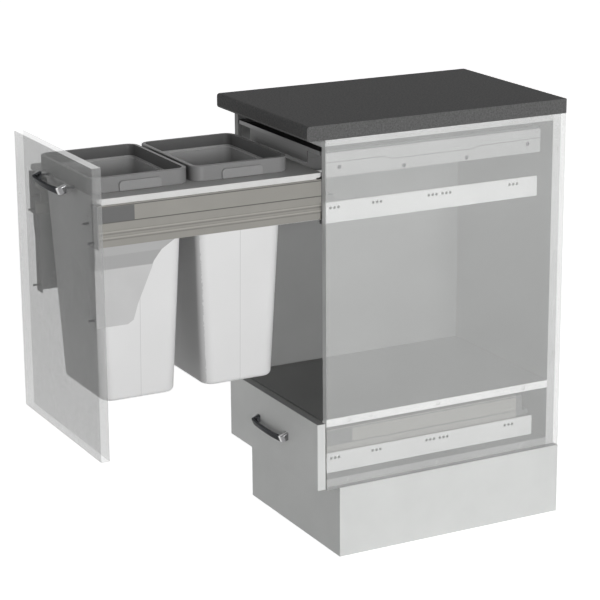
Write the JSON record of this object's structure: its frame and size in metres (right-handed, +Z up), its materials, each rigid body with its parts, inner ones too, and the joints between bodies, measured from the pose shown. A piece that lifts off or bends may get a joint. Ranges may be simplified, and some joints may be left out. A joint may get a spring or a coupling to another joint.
{
  "type": "pull-out waste cabinet",
  "caption": "Kitchen base cabinet with a benchtop, a pull-out waste drawer carrying lidded-liner buckets, and a low drawer on the same kind of runners.",
  "frame": {"origin": "on the floor, on the wall line, in the middle of the cabinet's width", "axes": "+X to the cabinet's right as it is stood in front of facing the wall, +Y to the wall, +Z up"},
  "size_m": [0.4, 1.0643, 0.9],
  "materials": {
    "panel": "melamine-faced board, satin light grey",
    "clear_panel": null,
    "benchtop": "laminate, dark grey with fine speckle",
    "dowel": "beech dowel",
    "screw_steel": "zinc plated",
    "handle_metal": "satin nickel",
    "side_paint": "powder coat, warm grey",
    "bracket_plastic": "moulded dark grey",
    "label": "plain inlay",
    "runner_steel": "zinc plated",
    "nylon": "natural nylon",
    "stay_paint": "powder coat, light grey",
    "frame_paint": "powder coat, light grey",
    "bucket_plastic": "moulded light grey",
    "collar_plastic": "moulded dark grey",
    "lid_metal": "coated sheet, mid grey",
    "ledge_metal": "coated sheet, mid grey",
    "seal_rubber": "soft strip"
  },
  "bodies": {
    "carcass": {"benchtop": "benchtop", "benchtop_screws": "screw_steel", "top_panel": "panel", "fixed_shelf": "panel", "bottom_panel": "panel", "back_panel": "panel", "plinth_front": "panel", "plinth_rear": "panel", "carcass_dowels": "dowel", "runner_screws": "screw_steel", "ledge_screws": "screw_steel", "plinth_side_left": "panel", "plinth_side_right": "panel", "side_panel_left": "panel", "side_panel_right": "clear_panel", "bin_cabinet_rail_left": "runner_steel", "bin_cabinet_rail_right": "runner_steel", "low_cabinet_rail_left": "runner_steel", "low_cabinet_rail_right": "runner_steel", "ledge_bracket_left": "ledge_metal", "ledge_bracket_right": "ledge_metal"},
    "bin_drawer": {"bin_front": "clear_panel", "bin_handle": "handle_metal", "bin_front_screws": "screw_steel", "bin_label_plates": "label", "bin_rear_brackets": "bracket_plastic", "bin_end_plates": "side_paint", "carrier_frame": "frame_paint", "bin_side_left": "side_paint", "bin_side_right": "side_paint", "bin_stay_left": "stay_paint", "bin_stay_right": "stay_paint", "bin_drawer_rail_left": "runner_steel", "bin_drawer_rail_right": "runner_steel"},
    "low_drawer": {"low_front": "panel", "low_handle": "handle_metal", "low_front_screws": "screw_steel", "low_label_plates": "label", "low_rear_brackets": "bracket_plastic", "low_end_plates": "side_paint", "low_base": "panel", "low_back": "panel", "low_side_left": "side_paint", "low_side_right": "side_paint", "low_drawer_rail_left": "runner_steel", "low_drawer_rail_right": "runner_steel"},
    "bucket_front": {"bucket_front": "bucket_plastic"},
    "bucket_rear": {"bucket_rear": "bucket_plastic"},
    "collar_front": {"collar_front": "collar_plastic"},
    "collar_rear": {"collar_rear": "collar_plastic"},
    "lid": {"lid": "lid_metal", "lid_seal": "seal_rubber"},
    "bin_middle_left": {"bin_middle_rail_left": "runner_steel", "bin_glides_left": "nylon"},
    "bin_middle_right": {"bin_middle_rail_right": "runner_steel", "bin_glides_right": "nylon"},
    "low_middle_left": {"low_middle_rail_left": "runner_steel", "low_glides_left": "nylon"},
    "low_middle_right": {"low_middle_rail_right": "runner_steel", "low_glides_right": "nylon"}
  },
  "joints": [
    {"name": "bin_slide", "type": "slide", "parent": "carcass", "child": "bin_drawer", "axis": [0, -1, 0], "range_m": [-0.4645, 0], "deforming": ["lid_seal"]},
    {"name": "bin_middle_left_slide", "type": "slide", "parent": "carcass", "child": "bin_middle_left", "axis": [0, -1, 0], "range_m": [-0.2323, 0.00005]},
    {"name": "bin_middle_right_slide", "type": "slide", "parent": "carcass", "child": "bin_middle_right", "axis": [0, -1, 0], "range_m": [-0.2323, 0.00005]},
    {"name": "low_drawer_slide", "type": "slide", "parent": "carcass", "child": "low_drawer", "axis": [0, -1, 0], "range_m": [0, 0.45]},
    {"name": "low_middle_left_slide", "type": "slide", "parent": "carcass", "child": "low_middle_left", "axis": [0, -1, 0], "range_m": [-0.00005, 0.22505]},
    {"name": "low_middle_right_slide", "type": "slide", "parent": "carcass", "child": "low_middle_right", "axis": [0, -1, 0], "range_m": [-0.00005, 0.22505]},
    {"name": "lid_lift", "type": "slide", "parent": "carcass", "child": "lid", "axis": [0, 0, 1], "range_m": [0, 0.008]},
    {"name": "bucket_front_lift", "type": "slide", "parent": "bin_drawer", "child": "bucket_front", "axis": [0, 0, 1], "range_m": [0, 0.44]},
    {"name": "collar_front_lift", "type": "slide", "parent": "bucket_front", "child": "collar_front", "axis": [0, 0, 1], "range_m": [0, 0.06]},
    {"name": "bucket_rear_lift", "type": "slide", "parent": "bin_drawer", "child": "bucket_rear", "axis": [0, 0, 1], "range_m": [0, 0.44]},
    {"name": "collar_rear_lift", "type": "slide", "parent": "bucket_rear", "child": "collar_rear", "axis": [0, 0, 1], "range_m": [0, 0.06]}
  ],
  "couplings": [
    {"joint": "bin_middle_left_slide", "follows": "bin_slide", "ratio": 0.5},
    {"joint": "bin_middle_right_slide", "follows": "bin_slide", "ratio": 0.5},
    {"joint": "low_middle_left_slide", "follows": "low_drawer_slide", "ratio": 0.5},
    {"joint": "low_middle_right_slide", "follows": "low_drawer_slide", "ratio": 0.5}
  ]
}
